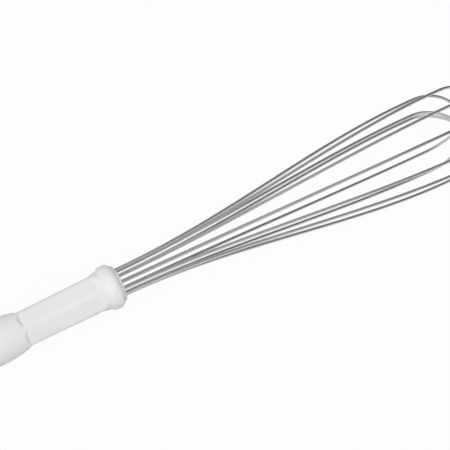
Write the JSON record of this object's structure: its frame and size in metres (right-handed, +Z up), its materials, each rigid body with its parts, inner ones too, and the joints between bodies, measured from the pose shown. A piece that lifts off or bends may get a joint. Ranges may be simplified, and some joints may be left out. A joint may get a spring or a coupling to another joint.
{
  "type": "balloon whisk",
  "caption": "Balloon whisk: springy stainless wire loops crossing at the tip, set in a white moulded handle with a six-sided grip, round collar and bulb end.",
  "frame": {"origin": "middle of the part's footprint, on the table that it lies on", "axes": "+X along the whisk from the handle to the wire tips, +Z up; the bulb and the cage both touch the table, so the axis climbs toward the tips"},
  "size_m": [0.3994, 0.0728, 0.073],
  "materials": {
    "handle_plastic": "satin moulded",
    "guide_plastic": "matt moulded",
    "resin": "cast",
    "wire": "bright drawn"
  },
  "bodies": {
    "root": {"handle": "handle_plastic", "wire_guide": "guide_plastic", "resin_plug": "resin", "anchor_disc": "guide_plastic", "wire_loop_1": "wire", "wire_loop_2": "wire", "wire_loop_3": "wire", "wire_loop_4": "wire", "wire_loop_5": "wire", "wire_loop_6": "wire"}
  },
  "joints": []
}
